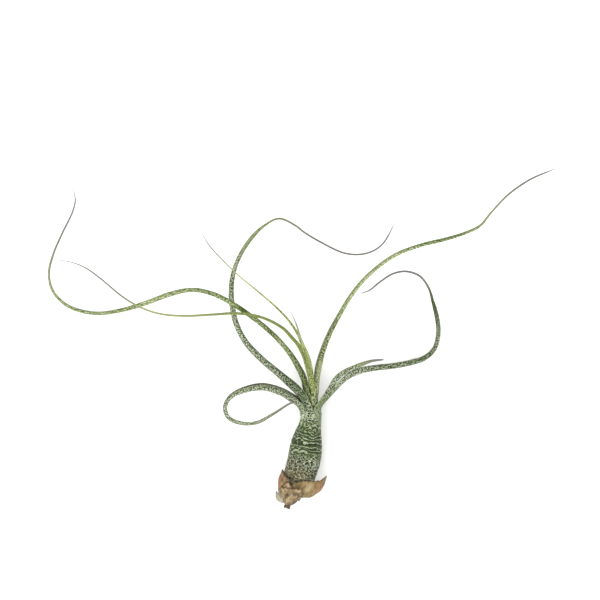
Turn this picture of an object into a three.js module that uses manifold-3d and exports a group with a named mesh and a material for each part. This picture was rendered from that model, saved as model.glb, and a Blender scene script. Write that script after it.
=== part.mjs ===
// An air plant with a swollen bulb of wrapped leaf bases and long rolled leaves, lying on a table.
// Millimetres, +Z up from the table, +Y from the roots towards the leaves.
// The origin is on the table, at the middle of the plant's outline.

import * as THREE from 'three';
import { mergeVertices } from 'three/addons/utils/BufferGeometryUtils.js';
import Module from 'manifold-3d';

const wasm = await Module();
wasm.setup();

// Driving dimensions.

const wall = 0.6; // leaf and sheath thickness
const clearance = 0.3; // between a dry sheath and the bulb it hugs
const layer = 1.0; // from one wrapped sheath to the sheath inside it
const threadRadius = 1.0; // a leaf rolled tighter than this is solid
const openRadius = 1.25; // a leaf wider than this is an open channel
const hollowRadius = 0.05; // the least that is left open inside a narrow channel
const restDepth = 0.3; // how much a leaf flattens where it lies on the table
const neck = { from: 24, to: 36 }; // where the bulb narrows, along its axis

const sheathRow = 4; // length between rings along the wrapped bases
const bladeRow = 6.5; // length between rings along a straight blade
const bladeTurn = 0.42; // turn between rings where a blade bends, in radians

// Middle line of the bulb and of the crown above it. Distances along it start at the roots.
const axisPoints = [
  [-4.3, -73.2, 7.8], [0.1, -60.7, 7.2], [1.9, -54.4, 7.2], [3.2, -45.9, 7.3],
  [4.6, -37.8, 8.2], [5.1, -31.5, 8.8], [5.4, -26.1, 9.3], [5.6, -20.3, 9.8], [5.8, -14.5, 10.6],
];

// Outer radius of the bulb, its neck and the crown: [distance along the axis, radius].
const bulbRadius = [
  [-1, 2.4], [0, 3], [3.6, 4.8], [6.5, 6.1], [10, 7.2], [17, 7.55], [24, 7.5], [27.5, 7.2],
  [30, 6.7], [33, 6], [35.5, 5.25], [38, 4.75], [41, 4.8], [60, 4.8],
];

// Thickness of the outermost sheath, which the plant lies on: [distance along the axis, thickness].
const outerWall = [[28, 1], [34, wall]];

// How much deeper the second and later sheaths lie: all of it in the bulb, none in the neck,
// where the outermost two no longer overlap and lie side by side.
const bulbDepth = [[32.5, 1.4], [37, 0]];

const stem = { from: 0.5, to: 12, lowRadius: 3, highRadius: 1.7, rootRadius: 0.62, rootTip: 0.3 };

// Broken roots: where each starts on the stem's end and where it stops.
const roots = [
  { from: [-4.6, -71.6, 8.2], to: [-7.2, -75.2, 8.6] },
  { from: [-4.2, -71.8, 7.4], to: [-4.9, -76, 7.2] },
  { from: [-3.2, -71.9, 6.6], to: [-2.6, -75.1, 4.8] },
  { from: [-5, -71.6, 6.4], to: [-6.9, -74.9, 5.2] },
];

// Leaves, outermost first. azimuth is the side of the bulb that the leaf grows on, in degrees:
// 0 is +X, 90 up, 180 -X. layers is how many sheaths lie outside it. It starts at base and leaves
// the bulb at departs, both along the axis. sheath lists [distance along the axis, half angle],
// and blade lists [distance past departs, radius, half angle]. A half angle is half of how far
// the section reaches round its centre, in degrees. route is the middle line of the blade.
const leaves = [
  {
    name: 'leaf_left_low', colour: 0x949f80, azimuth: 195, layers: 0, base: 2.5, departs: 40,
    sides: 12,
    sheath: [[2.5, 120], [10, 138], [14.6, 126], [19.8, 98], [28.5, 66], [32, 56], [36, 52]],
    route: [
      [4.1, -32.2, 8.6], [2.6, -29.8, 8.4], [0.1, -27.8, 8.5], [-3.4, -26.1, 9.4], [-8, -23.4, 12],
      [-16.9, -20.9, 16.5], [-25.8, -22.6, 18], [-31, -25.5, 17], [-33.4, -30, 14],
      [-31.8, -35, 11], [-26, -37.4, 10], [-19.4, -37.1, 11], [-12, -33.2, 13], [-5, -28.7, 15],
      [-2, -27.5, 16.5],
    ],
    blade: [
      [0, 4.8, 45], [3, 4.25, 44], [6, 3.2, 60], [9, 2.2, 100], [13, 1.75, 150], [22, 1.66, 155],
      [30, 1.45, 155], [38, 1.2, 155], [42, 1, 155], [46, 0.82, 155], [54, 0.84, 155],
      [62, 0.75, 155], [70, 0.65, 150], [78, 0.48, 150], [84, 0.36, 150], [90, 0.28, 150],
    ],
  },
  {
    name: 'leaf_right_low', colour: 0x96a285, azimuth: 2, layers: 0, base: 4, departs: 41,
    sides: 10,
    sheath: [[4, 105], [10, 115], [26, 108], [32, 90], [37, 90]],
    route: [
      [6, -30.7, 8.8], [7.6, -28.4, 8.6], [11.2, -24.9, 8.2], [14.8, -21.3, 7.6], [19.7, -17, 7],
      [26, -14.1, 6.2], [34.3, -12.6, 5], [42.2, -11.8, 3.7], [49.5, -10.4, 2.5],
      [55.8, -8.4, 1.6], [60.3, -4.3, 1], [62.1, 2.6, 2.2], [61.3, 10.5, 5], [59.4, 17.3, 8.5],
      [57.6, 22.8, 12], [53.4, 28.3, 16], [47.1, 30.4, 20], [41.1, 29.3, 23], [35.4, 25.7, 26],
      [30.7, 22, 28.5], [26.8, 20.5, 30.5],
    ],
    blade: [
      [0, 4.9, 86], [2, 4.6, 82], [4, 3.6, 82], [6, 2.8, 86], [8, 2.4, 88], [12, 2.15, 84],
      [16, 2, 79], [22, 1.75, 98], [30, 1.4, 140], [38, 1.28, 155], [46, 1.22, 155],
      [54, 1.18, 155], [62, 1.02, 155], [70, 0.9, 150], [80, 0.9, 150], [86, 0.74, 150],
      [92, 0.46, 150], [98, 0.38, 150], [116, 0.33, 150], [130, 0.28, 150], [136, 0.15, 150],
    ],
  },
  {
    name: 'leaf_left_tall', colour: 0x919b80, azimuth: 170, layers: 1, base: 6, departs: 45,
    sides: 8,
    sheath: [[6, 78], [12, 85], [40, 85]],
    route: [
      [4.2, -27.3, 9.4], [2.8, -25, 9.7], [0.9, -23, 10.2], [-5, -18.4, 11.5],
      [-10.6, -13.9, 12.5], [-16.9, -8.8, 14], [-24.2, -0.9, 16], [-28.5, 7.7, 18],
      [-30.4, 17.7, 19], [-30.2, 26.6, 19], [-27.7, 35.4, 18], [-23.1, 43.4, 16.5],
      [-16.8, 50.2, 15], [-9.4, 54, 14.5], [-1.9, 50.8, 15], [1.7, 48, 15.5], [8.6, 43.8, 17],
      [20.4, 38.4, 19], [29.4, 38.4, 21], [36.2, 42.1, 23], [42.2, 52.1, 26],
    ],
    blade: [
      [0, 4.25, 82], [3, 3.7, 84], [6, 2.8, 95], [9, 2.25, 115], [14, 1.7, 145], [22, 1.46, 155],
      [38, 1.38, 155], [46, 1.22, 155], [62, 1.2, 155], [70, 1.04, 155], [78, 0.92, 150],
      [86, 0.84, 150], [94, 0.74, 150], [99, 0.5, 150], [103, 0.35, 150], [150, 0.3, 150],
      [164, 0.26, 150], [170, 0.12, 150],
    ],
  },
  {
    name: 'leaf_right_short', colour: 0x8fa078, azimuth: 3, layers: 1, base: 6.3, departs: 43,
    sides: 8,
    sheath: [[6.3, 70], [12, 76], [37, 76], [42, 50]],
    route: [
      [6.3, -29.7, 8.7], [7.7, -28, 8.5], [11.1, -24.6, 8.1], [14.3, -20.8, 7.9],
      [16.4, -17.7, 9.7], [20.3, -14.6, 10.9], [28.3, -10.9, 11.6], [32, -9.5, 13.4],
      [37.3, -8.8, 17],
    ],
    blade: [
      [0, 3.82, 44], [2, 3.08, 38], [4, 1.95, 55], [6, 1.45, 84], [8, 1.28, 95], [14, 1.12, 130],
      [20, 1.2, 150], [26, 1.02, 150], [32, 0.8, 150], [37, 0.5, 150], [42, 0.3, 150],
    ],
  },
  {
    name: 'leaf_left_long', colour: 0x9aa881, azimuth: 165, layers: 2, base: 8, departs: 49,
    sides: 8,
    sheath: [[8, 76], [14, 84], [40, 84], [47, 70]],
    route: [
      [4.3, -23.2, 9.7], [3.2, -20.6, 10.1], [2.2, -17.8, 11.2], [-0.6, -12.4, 14],
      [-4.3, -6.3, 18], [-10.9, 1.5, 23], [-19.3, 8.8, 27], [-28.5, 15.3, 29], [-38.1, 20.3, 28],
      [-47.9, 22.2, 24.5], [-57.9, 20.3, 19], [-67.3, 16.9, 13], [-79.7, 13.2, 6.5],
      [-92.2, 11.7, 0.9], [-103.4, 14.5, 2], [-110.5, 21.2, 6], [-112.2, 29.3, 11],
      [-109.9, 38.1, 16], [-105.5, 47.5, 21], [-100.7, 56.7, 26], [-99.3, 61.9, 29],
      [-100.2, 67.5, 32],
    ],
    blade: [
      [0, 2.9, 70], [4, 2.4, 76], [8, 1.7, 110], [14, 1.32, 150], [22, 1.14, 155], [30, 1.05, 155],
      [38, 1, 155], [54, 1, 155], [66, 0.92, 155], [78, 0.84, 150], [86, 0.92, 150],
      [94, 0.98, 150], [104, 0.92, 150], [120, 0.8, 150], [128, 0.68, 150], [144, 0.6, 150],
      [160, 0.5, 150], [170, 0.44, 150], [178, 0.36, 150], [192, 0.3, 150], [202, 0.24, 150],
      [208, 0.12, 150],
    ],
  },
  {
    name: 'leaf_right_long', colour: 0xa0ad80, azimuth: -15, layers: 2, base: 8.3, departs: 49,
    sides: 8,
    sheath: [[8.3, 74], [14, 80], [40, 80], [47, 72]],
    route: [
      [6.1, -22.8, 9.1], [6.7, -19.4, 9.2], [7.9, -13.6, 9.9], [9.9, -5.7, 13.2], [13, 2.5, 18],
      [17.2, 10.6, 24], [22, 18.8, 29], [27.8, 26.3, 33], [34.7, 32.6, 36], [42.7, 37.9, 37.5],
      [53.2, 41.8, 37], [64.5, 44.6, 34.5], [73.2, 47.4, 32], [79.5, 50.5, 30], [84.6, 56.5, 29.5],
      [91.9, 64.2, 31], [101.4, 70.8, 34], [112.5, 75.5, 38],
    ],
    blade: [
      [0, 2.75, 72], [4, 2.25, 76], [8, 1.65, 105], [14, 1.4, 150], [22, 1.2, 155], [30, 1.08, 155],
      [38, 0.95, 155], [46, 0.93, 155], [54, 0.86, 155], [62, 0.8, 155], [78, 0.76, 150],
      [94, 0.72, 150], [102, 0.7, 150], [110, 0.6, 150], [118, 0.52, 150], [124, 0.42, 150],
      [130, 0.31, 150], [150, 0.28, 150], [160, 0.22, 150], [165, 0.12, 150],
    ],
  },
  {
    name: 'leaf_young_left', colour: 0x9fae76, azimuth: 225, layers: 3, base: 10.5, departs: 52,
    sides: 5,
    sheath: [[10.5, 70], [16, 80], [50, 80]],
    route: [
      [5.4, -21.6, 10.2], [4.9, -17.8, 12.1], [4, -14.4, 14.4], [3.1, -11.3, 17], [2, -7.6, 20],
      [0.7, -4.9, 22.6], [-0.9, -2.1, 25.4], [-3.7, 1.2, 28.8], [-7.9, 5.5, 33], [-16.7, 10, 38],
      [-27.2, 11.8, 40], [-38.6, 11.3, 39.5], [-50.6, 10.7, 36], [-61.7, 11.6, 32],
      [-70.6, 14.5, 28], [-78.8, 19.3, 25], [-88.6, 27.3, 22.5], [-95.8, 32.3, 22],
      [-102, 34.6, 22.5], [-107.3, 35.4, 24],
    ],
    blade: [
      [0, 1.95, 78], [4, 1.35, 100], [8, 1.02, 140], [18, 0.92, 150], [28, 0.84, 150],
      [38, 0.7, 150], [46, 0.6, 150], [54, 0.5, 150], [70, 0.42, 150], [94, 0.36, 150],
      [112, 0.3, 150], [136, 0.24, 150], [150, 0.12, 150],
    ],
  },
];

// The two youngest leaves are solid needles that stand on the stem inside the others.
// side is how far each lies from the bulb's axis in the bulb and in the neck, at azimuth.
const needles = [
  {
    name: 'leaf_young_middle', colour: 0xa3b273, azimuth: 0, side: [1, 0.75], base: 12.3,
    sides: 5, departs: 50,
    route: [
      [5.9, -21.4, 11.6], [5.2, -17.6, 14.6], [4.6, -14.4, 17.4], [4, -11.2, 20.6],
      [3.2, -7.6, 25], [2, -4.5, 28.5], [0.9, -1.8, 31.8], [-0.9, 2.5, 37], [-5.1, 8.9, 43],
      [-10.5, 14.6, 47], [-18.9, 21.9, 51], [-27, 28.6, 52], [-34.5, 35.9, 51], [-39.7, 41.7, 49],
      [-43, 47, 47],
    ],
    blade: [
      [-40, 0.6], [-15, 0.45], [0, 0.5], [4, 0.75], [8, 1.05], [18, 0.95], [28, 0.75], [38, 0.55], [48, 0.4],
      [58, 0.28], [80, 0.22], [98, 0.17], [104, 0.08],
    ],
  },
  {
    name: 'leaf_heart', colour: 0xa6b478, azimuth: 120, side: [1, 0.65], base: 12.3,
    sides: 5, departs: 50,
    route: [
      [5.8, -21.6, 13.4], [5.8, -17.6, 17], [5.4, -14.3, 20.5], [3.9, -7.5, 28.5], [1.6, -2.1, 34],
      [-0.1, 2.2, 39.5], [-1.5, 6.8, 45], [-3.4, 11.3, 51], [-5, 15.1, 56],
    ],
    blade: [
      [-40, 0.55], [-15, 0.38], [0, 0.38], [8, 0.5], [24, 0.4], [36, 0.25], [46, 0.16], [58, 0.07],
    ],
  },
];

// Dry papery remains of old sheaths round the bulb's base. Each is a thin sheet round the axis,
// between its low and high edge at each azimuth: [azimuth, distance along the axis].
// lift is how far it stands off the bulb, [distance along the axis, lift], and flare bends it
// further out near one azimuth: its place and width in degrees, then its height at the low edge,
// the rise from there and the fall after it.
const husks = [
  {
    name: 'dry_sheath_right', colour: 0xaa966f, columns: 14, rows: 5,
    low: [[-50, 4.5], [-20, 5.5], [8, 7], [20, 5.2], [46, 4.2], [107, 4.2]],
    high: [[-50, 8.5], [-20, 12.5], [8, 16.4], [30, 13.4], [50, 12.3], [75, 11.4], [107, 8.2]],
    lift: [[4, clearance], [16, clearance]],
    flare: { azimuth: 8, width: 32, low: 1.9, rise: 5.5, fall: 4.8 },
  },
  {
    name: 'dry_sheath_front', colour: 0xa08b67, columns: 11, rows: 5,
    low: [[60, 3.6], [66, 1.5], [80, -0.2], [120, -0.6], [160, 0], [176, 1.6]],
    high: [[60, 5.6], [72, 7.4], [100, 6.2], [140, 5.2], [165, 4], [176, 3]],
    lift: [[-0.6, -1], [0.3, 0.4], [1.6, 1.2], [3, 1.45], [8, 1.45]],
  },
  {
    name: 'dry_sheath_left', colour: 0x786b4c, columns: 10, rows: 5,
    low: [[116, 8.4], [141, 6], [165, 5.2], [190, 4.6], [238, 5]],
    high: [[116, 9.4], [141, 10.8], [162, 12.2], [182, 15], [205, 13.6], [238, 9]],
    lift: [[4, 1.5], [8, 1.25], [11, 0.6], [15, clearance]],
  },
  {
    name: 'dry_sheath_middle', colour: 0xa39068, columns: 5, rows: 3,
    low: [[108.5, 7.6], [126, 6.4], [150, 6.2]],
    high: [[108.5, 8.6], [126, 8.8], [150, 7.2]],
    lift: [[4, clearance], [10, clearance]],
  },
  {
    name: 'dry_sheath_low', colour: 0xb5ab90, columns: 5, rows: 4,
    low: [[184, 2.2], [200, 0.6], [222, 0.8], [238, 2]],
    high: [[184, 3.6], [200, 4.2], [222, 4.2], [238, 3.6]],
    lift: [[0.3, 1.6], [1.6, 2.6], [4.2, clearance]],
  },
];

const radians = THREE.MathUtils.degToRad;
const { clamp, lerp, smoothstep } = THREE.MathUtils;

function vectors(points) {
  return points.map((point) => new THREE.Vector3(...point));
}

function curveThrough(points) {
  const curve = new THREE.CatmullRomCurve3(points, false, 'centripetal');
  curve.arcLengthDivisions = 2000;
  return curve;
}

// Straight-line value between stations, each a list that starts with its distance.
function valueAt(stations, distance, column = 1) {
  const after = stations.findIndex((station) => station[0] >= distance);
  if (after === 0) return stations[0][column];
  if (after < 0) return stations.at(-1)[column];
  const [low, high] = [stations[after - 1], stations[after]];
  return lerp(low[column], high[column], (distance - low[0]) / (high[0] - low[0]));
}

const axis = curveThrough(vectors(axisPoints));
const axisLength = axis.getLength();

function axisAt(distance) {
  const along = clamp(distance / axisLength, 0, 1);
  const tangent = axis.getTangentAt(along);
  const point = axis.getPointAt(along).addScaledVector(tangent, distance - along * axisLength);
  return { point, tangent };
}

// Unit vector away from a line that runs along tangent, at an azimuth round it.
function outward(tangent, azimuth) {
  const right = new THREE.Vector3(1, 0, 0).addScaledVector(tangent, -tangent.x).normalize();
  const up = new THREE.Vector3().crossVectors(right, tangent);
  return right.multiplyScalar(Math.cos(azimuth)).addScaledVector(up, Math.sin(azimuth));
}

// Distances along a curve for the rings: even in the sheath, closer where the blade bends.
function ringDistances(curve, base, departs) {
  const length = curve.getLength();
  const rows = [0];
  for (let s = sheathRow * Math.ceil((base + 1) / sheathRow); s < departs; s += sheathRow) {
    rows.push(s - base);
  }
  const probe = 0.5;
  let used = 0;
  let before = null;
  for (let run = departs - base; run < length - bladeRow / 2; run += probe) {
    const tangent = curve.getTangentAt(run / length);
    const turn = before ? tangent.angleTo(before) : bladeTurn;
    used += probe / bladeRow + turn / bladeTurn;
    if (used >= 1) {
      rows.push(run);
      used = 0;
    }
    before = tangent;
  }
  rows.push(length);
  return rows;
}

// Points, tangents and outward directions along a curve, with no twist of their own.
function frames(curve, distances, azimuth) {
  const length = curve.getLength();
  const steps = Math.ceil(length);
  let side = outward(curve.getTangentAt(0), azimuth);
  let travelled = 0;
  return distances.map((distance) => {
    while (travelled < distance) {
      travelled = Math.min(travelled + length / steps, distance);
      const tangent = curve.getTangentAt(travelled / length);
      side = side.clone().addScaledVector(tangent, -side.dot(tangent)).normalize();
    }
    const tangent = curve.getTangentAt(distance / length);
    return { point: curve.getPointAt(distance / length), tangent, side };
  });
}

// One ring of a rolled leaf: out along the back of the channel and home along its inside.
// solid runs from 0, an open channel, to 1, a round thread.
function ring({ point, tangent, side }, { radius, halfAngle, thickness, solid, sides }) {
  const across = new THREE.Vector3().crossVectors(tangent, side);
  const inner = Math.max(radius - thickness, hollowRadius);
  const place = (angle, reach) => point.clone()
    .addScaledVector(side, reach * Math.cos(angle)).addScaledVector(across, reach * Math.sin(angle));
  const points = [];
  for (let i = 0; i <= sides; i += 1) {
    points.push(place(lerp(-halfAngle, halfAngle, i / sides), radius));
  }
  for (let i = 0; i <= sides; i += 1) {
    const open = place(lerp(halfAngle, -halfAngle, i / sides), inner);
    const closing = halfAngle + (2 * Math.PI - 2 * halfAngle) * (i + 1) / (sides + 2);
    points.push(open.lerp(place(closing, radius), solid));
  }
  return points;
}

// Closed body through rings that all have the same even number of points.
function loft(rings) {
  const count = rings[0].length;
  const index = [];
  const quad = (a, b, c, d) => index.push(a, b, c, a, c, d);
  for (let row = 0; row < rings.length - 1; row += 1) {
    for (let i = 0; i < count; i += 1) {
      const next = (i + 1) % count;
      const [low, high] = [row * count, (row + 1) * count];
      quad(low + i, low + next, high + next, high + i);
    }
  }
  const last = (rings.length - 1) * count;
  for (let i = 0; i < count / 2 - 1; i += 1) {
    const [a, b, c, d] = [i, i + 1, count - 2 - i, count - 1 - i];
    quad(d, c, b, a);
    quad(last + a, last + b, last + c, last + d);
  }
  const geometry = new THREE.BufferGeometry();
  const flat = rings.flat().flatMap((point) => point.toArray());
  geometry.setAttribute('position', new THREE.Float32BufferAttribute(flat, 3));
  geometry.setIndex(index);
  return geometry;
}

function toSolid(geometry) {
  const bare = geometry.clone();
  bare.deleteAttribute('normal');
  bare.deleteAttribute('uv');
  const merged = mergeVertices(bare, 1e-4);
  return new wasm.Manifold(new wasm.Mesh({
    numProp: 3,
    vertProperties: new Float32Array(merged.attributes.position.array),
    triVerts: new Uint32Array(merged.index.array),
  }));
}

function toGeometry(solid) {
  const mesh = solid.getMesh();
  const geometry = new THREE.BufferGeometry();
  geometry.setAttribute('position', new THREE.BufferAttribute(mesh.vertProperties, 3));
  geometry.setIndex(new THREE.BufferAttribute(mesh.triVerts, 1));
  return geometry;
}

// What would reach below the table, or nearly touch it, lies flat on it.
function restOnTable(geometry) {
  const { position } = geometry.attributes;
  for (let i = 0; i < position.count; i += 1) {
    if (position.getZ(i) < restDepth) position.setZ(i, 0);
  }
  return geometry;
}

const plant = new THREE.Group();

function add(name, geometry, colour, roughness) {
  geometry.computeVertexNormals();
  const material = new THREE.MeshStandardMaterial({ color: colour, roughness, metalness: 0 });
  const mesh = new THREE.Mesh(geometry, material);
  mesh.name = name;
  plant.add(mesh);
}

function leafGeometry(leaf) {
  const points = [];
  for (let s = leaf.base; s <= leaf.departs - sheathRow / 2; s += sheathRow / 2) {
    points.push(axisAt(s).point);
  }
  points.push(axisAt(leaf.departs).point, ...vectors(leaf.route));
  const curve = curveThrough(points);
  const distances = ringDistances(curve, leaf.base, leaf.departs);
  const outermost = leaf === leaves[0];
  const depth = (s) => leaf.layers * layer + (outermost ? 0 : valueAt(bulbDepth, s));
  const rings = frames(curve, distances, radians(leaf.azimuth)).map((frame, i) => {
    const s = leaf.base + distances[i];
    const past = s - leaf.departs;
    const wrapped = past < 0;
    const radius = wrapped ? valueAt(bulbRadius, s) - depth(s) : valueAt(leaf.blade, past);
    const thickness = outermost ? valueAt(outerWall, s) : wall;
    const angle = wrapped ? valueAt(leaf.sheath, s) : valueAt(leaf.blade, past, 2);
    const solid = wrapped ? 0 : 1 - smoothstep(radius, threadRadius, openRadius);
    return ring(frame, { radius, halfAngle: radians(angle), thickness, solid, sides: leaf.sides });
  });
  return restOnTable(loft(rings));
}

function needleGeometry(needle) {
  const points = [];
  for (let s = needle.base; s <= needle.departs; s += sheathRow) {
    const { point, tangent } = axisAt(s);
    const side = lerp(...needle.side, smoothstep(s, neck.from, neck.to));
    points.push(point.addScaledVector(outward(tangent, radians(needle.azimuth)), side));
  }
  points.push(...vectors(needle.route));
  const curve = curveThrough(points);
  const distances = ringDistances(curve, needle.base, needle.departs);
  const rings = frames(curve, distances, radians(needle.azimuth)).map((frame, i) => {
    const radius = valueAt(needle.blade, needle.base + distances[i] - needle.departs);
    const shape = { radius, halfAngle: Math.PI / 2, thickness: radius, solid: 1 };
    return ring(frame, { ...shape, sides: needle.sides });
  });
  return loft(rings);
}

// How far a dry sheath bends out from the bulb, at a height from 0, its low edge, to 1.
function flareAt(flare, azimuth, height) {
  if (!flare) return 0;
  const near = Math.exp(-(((azimuth - flare.azimuth) / flare.width) ** 2));
  return near * (flare.low + flare.rise * height - flare.fall * height ** 2);
}

function huskGeometry(husk) {
  const place = (azimuth, height, offset) => {
    const s = lerp(valueAt(husk.low, azimuth), valueAt(husk.high, azimuth), height);
    const { point, tangent } = axisAt(s);
    const out = valueAt(husk.lift, s) + flareAt(husk.flare, azimuth, height);
    const radius = valueAt(bulbRadius, s) + out + offset;
    return point.addScaledVector(outward(tangent, radians(azimuth)), radius);
  };
  const [from, to] = [husk.low[0][0], husk.low.at(-1)[0]];
  const rings = [];
  for (let column = 0; column <= husk.columns; column += 1) {
    const azimuth = lerp(from, to, column / husk.columns);
    const points = [];
    for (let row = 0; row <= husk.rows; row += 1) {
      points.push(place(azimuth, row / husk.rows, wall));
    }
    for (let row = husk.rows; row >= 0; row -= 1) points.push(place(azimuth, row / husk.rows, 0));
    rings.push(points);
  }
  return loft(rings);
}

// A round bar between two points, wider at one end.
function taper(from, to, startRadius, endRadius, sides) {
  const run = new THREE.Vector3().subVectors(to, from);
  const bar = new THREE.CylinderGeometry(endRadius, startRadius, run.length(), sides);
  const turn = new THREE.Quaternion().setFromUnitVectors(
    new THREE.Vector3(0, 1, 0), run.clone().normalize(),
  );
  bar.applyQuaternion(turn);
  const middle = from.clone().lerp(to, 0.5);
  return toSolid(bar.translate(...middle.toArray()));
}

function stemGeometry() {
  const [low, high] = [axisAt(stem.from).point, axisAt(stem.to).point];
  let body = taper(low, high, stem.lowRadius, stem.highRadius, 14);
  for (const root of roots) {
    const [start, end] = vectors([root.from, root.to]);
    body = body.add(taper(start, end, stem.rootRadius, stem.rootTip, 6));
  }
  return toGeometry(body);
}

add('stem_and_roots', stemGeometry(), 0x5e5236, 0.9);
for (const leaf of leaves) add(leaf.name, leafGeometry(leaf), leaf.colour, 0.75);
for (const needle of needles) add(needle.name, needleGeometry(needle), needle.colour, 0.7);
for (const husk of husks) add(husk.name, huskGeometry(husk), husk.colour, 0.85);

export default plant;
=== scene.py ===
from math import cos, pi, radians, sin
import bpy
import numpy as np
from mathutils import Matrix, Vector, noise


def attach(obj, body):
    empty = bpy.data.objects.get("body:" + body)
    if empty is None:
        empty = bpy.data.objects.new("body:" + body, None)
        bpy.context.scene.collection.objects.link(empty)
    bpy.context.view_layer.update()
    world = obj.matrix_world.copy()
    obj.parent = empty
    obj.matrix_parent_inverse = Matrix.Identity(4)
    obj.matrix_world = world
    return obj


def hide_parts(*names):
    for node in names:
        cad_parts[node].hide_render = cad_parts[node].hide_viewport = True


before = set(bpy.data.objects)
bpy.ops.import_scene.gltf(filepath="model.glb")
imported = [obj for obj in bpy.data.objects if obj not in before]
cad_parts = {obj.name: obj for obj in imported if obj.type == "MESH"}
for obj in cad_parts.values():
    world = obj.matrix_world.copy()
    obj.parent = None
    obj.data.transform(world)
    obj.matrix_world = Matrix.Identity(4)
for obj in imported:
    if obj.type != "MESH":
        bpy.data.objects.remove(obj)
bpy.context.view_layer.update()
bpy.ops.object.select_all(action="DESELECT")
mm = 0.001
mapSpan = 100 # millimetres to one unit of a piece's own map
weldReach = 1e-7 # points closer than this, in metres, become one
crispAngle = 50 # degrees, sharper edges than this aren't smoothed
print("frame loaded,", len(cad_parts), "solids")


# lines and sections, in millimetres until a piece is placed

def routeThrough(points, perSpan=40):
    # smooth line through the points, with the length run along it
    knots = [np.array(p, float) for p in points]
    knots = [2 * knots[0] - knots[1], *knots, 2 * knots[-1] - knots[-2]]
    steps = np.arange(perSpan)[:, None] / perSpan
    line = []
    for a, b, c, d in zip(knots, knots[1:], knots[2:], knots[3:]):
        ab, bc, cd = (np.linalg.norm(q - p) ** 0.5 for p, q in ((a, b), (b, c), (c, d)))
        leave = ((b - a) / ab - (c - a) / (ab + bc) + (c - b) / bc) * bc
        arrive = ((c - b) / bc - (d - b) / (bc + cd) + (d - c) / cd) * bc
        bend = 3 * (c - b) - 2 * leave - arrive
        twist = 2 * (b - c) + leave + arrive
        line.extend(b + leave * steps + bend * steps ** 2 + twist * steps ** 3)
    line.append(knots[-2])
    line = np.array(line)
    run = np.concatenate([[0], np.cumsum(np.linalg.norm(np.diff(line, axis=0), axis=1))])
    return {"line": line, "run": run, "length": run[-1]}


def placesOn(route, distances):
    return np.stack([np.interp(distances, route["run"], route["line"][:, k]) for k in range(3)], 1)


def headingsOn(route, distances, probe=0.2):
    ahead = placesOn(route, np.minimum(distances + probe, route["length"]))
    behind = placesOn(route, np.maximum(distances - probe, 0))
    heading = ahead - behind
    return heading / np.linalg.norm(heading, axis=1)[:, None]


def outward(heading, azimuth):
    # unit vector away from a line that runs along heading, at an angle round it
    right = np.array([1.0, 0, 0]) - heading * heading[0]
    right /= np.linalg.norm(right)
    return right * cos(azimuth) + np.cross(right, heading) * sin(azimuth)


def valueAt(stations, distance, column=1):
    # a row that leaves out its last number keeps that of the row before
    rows = [stations[0]]
    for row in stations[1:]:
        rows.append([*row, *rows[-1][len(row):]])
    table = np.array(rows, float)
    return np.interp(distance, table[:, 0], table[:, column])


def evened(values, reach):
    # rounds the corners of a list of values, over reach neighbours each way
    weights = np.hanning(2 * reach + 3)[1:-1]
    padded = np.pad(values, reach, mode="edge")
    return np.convolve(padded, weights / weights.sum(), mode="valid")


def ramped(value, low, high):
    share = np.clip((value - low) / (high - low), 0, 1)
    return share * share * (3 - 2 * share)


# the bulb that every leaf base is wrapped round
bulb = {
    "axis": [
        [-4.3, -73.2, 7.8], [0.1, -60.7, 7.2], [1.9, -54.4, 7.2], [3.2, -45.9, 7.3],
        [4.6, -37.8, 8.2], [5.1, -31.5, 8.8], [5.4, -26.1, 9.3], [5.6, -20.3, 9.8],
        [5.8, -14.5, 10.6],
    ],
    "radius": [
        [-1, 2.4], [0, 3], [3.6, 4.8], [6.5, 6.1], [10, 7.2], [17, 7.55], [24, 7.5], [27.5, 7.2],
        [30, 6.7], [33, 6], [35.5, 5.25], [38, 4.75], [41, 4.8], [60, 4.8],
    ],
    "outerWall": [[28, 1], [34, 0.6]],
    "innerDepth": [[32.5, 1.4], [37, 0]],
    "layer": 1.0,
    "wall": 0.6,
    "scales": 0.13, # the coat of scales on a blade
    "margin": 0.2, # thickness of a leaf's edge
    "thread": 1.0, # rolled tighter than this a leaf is solid
    "open": 1.25, # wider than this it is an open channel
}
axisRoute = routeThrough(bulb["axis"])


def axisAt(distance):
    inside = min(max(distance, 0), axisRoute["length"])
    heading = headingsOn(axisRoute, np.array([inside]))[0]
    return placesOn(axisRoute, np.array([inside]))[0] + heading * (distance - inside), heading


def bulbRadius(distance):
    return valueAt(bulb["radius"], distance)


def carriedSides(headings, first):
    # outward directions along a line, with no twist of their own
    sides = [first]
    for heading in headings[1:]:
        side = sides[-1] - heading * np.dot(sides[-1], heading)
        sides.append(side / np.linalg.norm(side))
    return np.array(sides)


# work on a piece's mesh

def gridPiece(name, columns, rows):
    # a flat grid, and each vertex's column and row
    bpy.ops.object.select_all(action="DESELECT")
    bpy.ops.mesh.primitive_grid_add(x_subdivisions=columns, y_subdivisions=rows, size=2)
    piece = bpy.context.object
    piece.name = name
    piece.data.name = name
    flat = np.zeros(len(piece.data.vertices) * 3)
    piece.data.vertices.foreach_get("co", flat)
    flat = flat.reshape(-1, 3)
    column = np.rint((flat[:, 0] + 1) / 2 * columns).astype(int)
    row = np.rint((flat[:, 1] + 1) / 2 * rows).astype(int)
    return piece, column, row


def placeGrid(piece, places, surface):
    # places in millimetres, one for each vertex, and surface its distances round and along
    mesh = piece.data
    mesh.vertices.foreach_set("co", (places * mm).ravel())
    corners = np.zeros(len(mesh.loops), int)
    mesh.loops.foreach_get("vertex_index", corners)
    mesh.uv_layers[0].name = "surfaceMap"
    mesh.uv_layers[0].uv.foreach_set("vector", (surface[corners] / mapSpan).ravel())
    mesh.update()


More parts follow.
